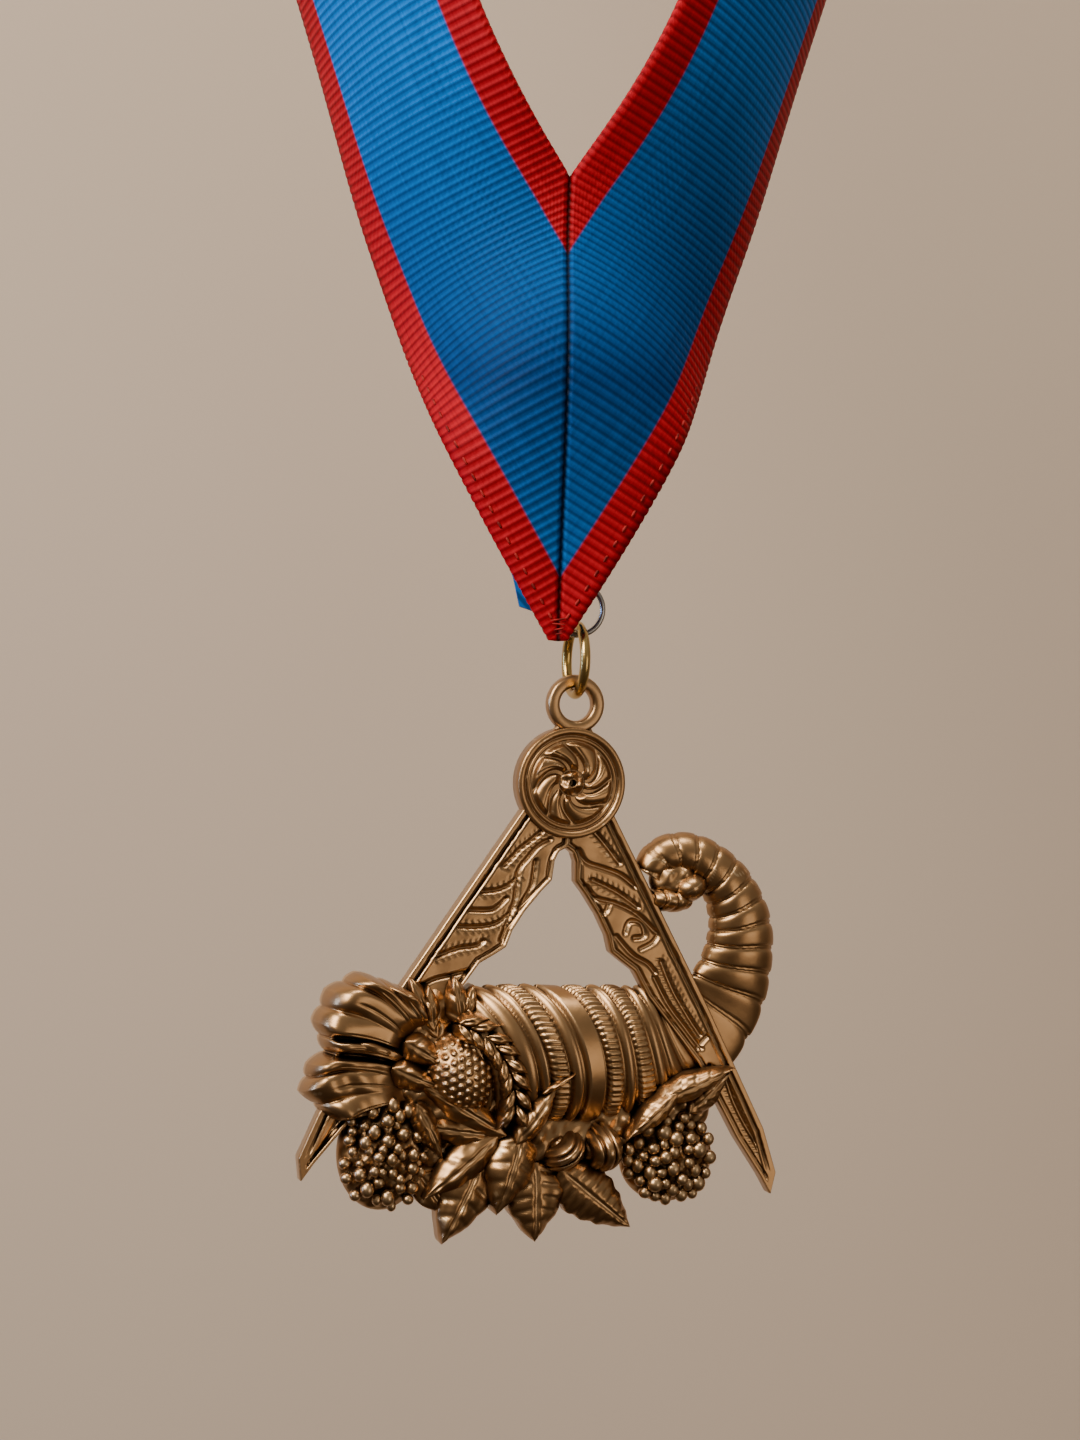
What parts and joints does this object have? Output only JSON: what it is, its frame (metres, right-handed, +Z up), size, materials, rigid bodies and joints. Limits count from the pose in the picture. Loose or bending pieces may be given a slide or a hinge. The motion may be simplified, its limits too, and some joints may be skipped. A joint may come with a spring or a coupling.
{
  "type": "masonic jewel on a collar ribbon",
  "caption": "Cast compasses with a horn of plenty, hanging by rings from the point of a two-colour neck ribbon.",
  "frame": {"origin": "middle of the ribbon's inner face at the nape, where the loop hangs on a neck or a hook", "axes": "+Z up, -Y towards the viewer (the ribbon's front), +X to the viewer's right"},
  "size_m": [0.1664, 0.1308, 0.4433],
  "materials": {
    "ribbon": "ribbed grosgrain, sky blue with crimson edges",
    "backing": "folded ribbon end, sky blue",
    "steel": "plain split wire",
    "gilt": "polished gilt wire",
    "antique_brass": "antiqued cast brass, darker in the hollows"
  },
  "bodies": {
    "collar": {"collar_ribbon": "ribbon", "point_backing": "backing", "steel_ring": "steel"},
    "link": {"jump_ring": "gilt"},
    "pendant": {"jewel": "antique_brass"}
  },
  "joints": [
    {"name": "link_swing", "type": "hinge", "parent": "collar", "child": "link", "pos_m": [0.0029, -0.1161, -0.34998], "axis": [1, 0, 0], "range_deg": [-45, 45]},
    {"name": "jewel_swing", "type": "hinge", "parent": "link", "child": "pendant", "pos_m": [0.0029, -0.1161, -0.35774], "axis": [-0.1736, 0.9848, 0], "range_deg": [-60, 60]}
  ]
}
